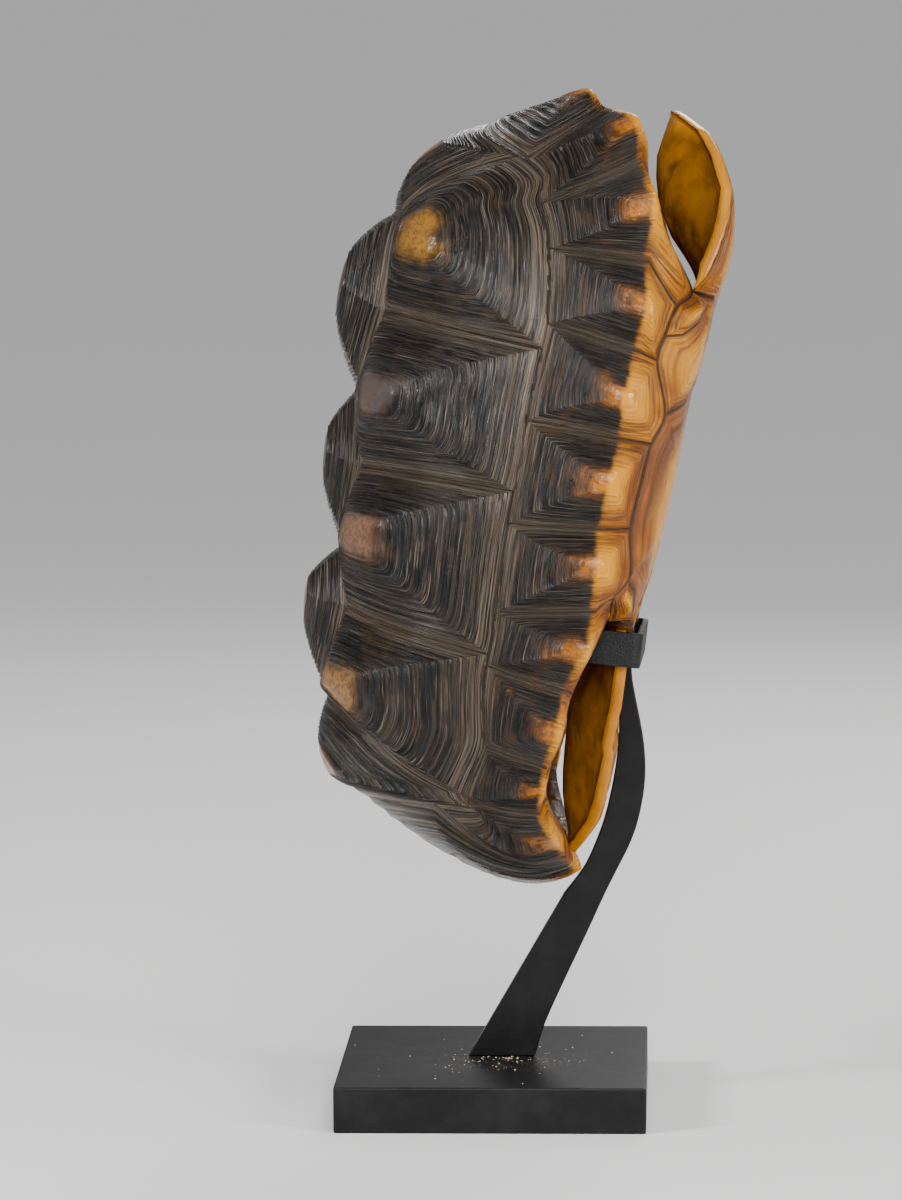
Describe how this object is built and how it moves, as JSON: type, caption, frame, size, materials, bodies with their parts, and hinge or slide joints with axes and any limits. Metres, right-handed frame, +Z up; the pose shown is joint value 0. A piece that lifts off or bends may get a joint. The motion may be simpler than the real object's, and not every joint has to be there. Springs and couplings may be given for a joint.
{
  "type": "turtle shell",
  "caption": "Whole tortoise shell with domed back, hollow inside and belly plate, resting upright on a black display stand with a cradle band.",
  "frame": {"origin": "centre of the underside of the square base", "axes": "+Z up, along the height of the stand and the standing shell; the belly faces +X and the back faces -X; the sides of the base run along X and Y"},
  "size_m": [0.1692, 0.1969, 0.3977],
  "materials": {
    "shell_horn": "ringed horn, semi-gloss",
    "black_leather": "grained, satin",
    "black_metal": "satin",
    "black_block": "matt with dust"
  },
  "bodies": {
    "root": {"turtle_shell": "shell_horn", "band": "black_leather", "upright": "black_metal", "base": "black_block"}
  },
  "joints": []
}
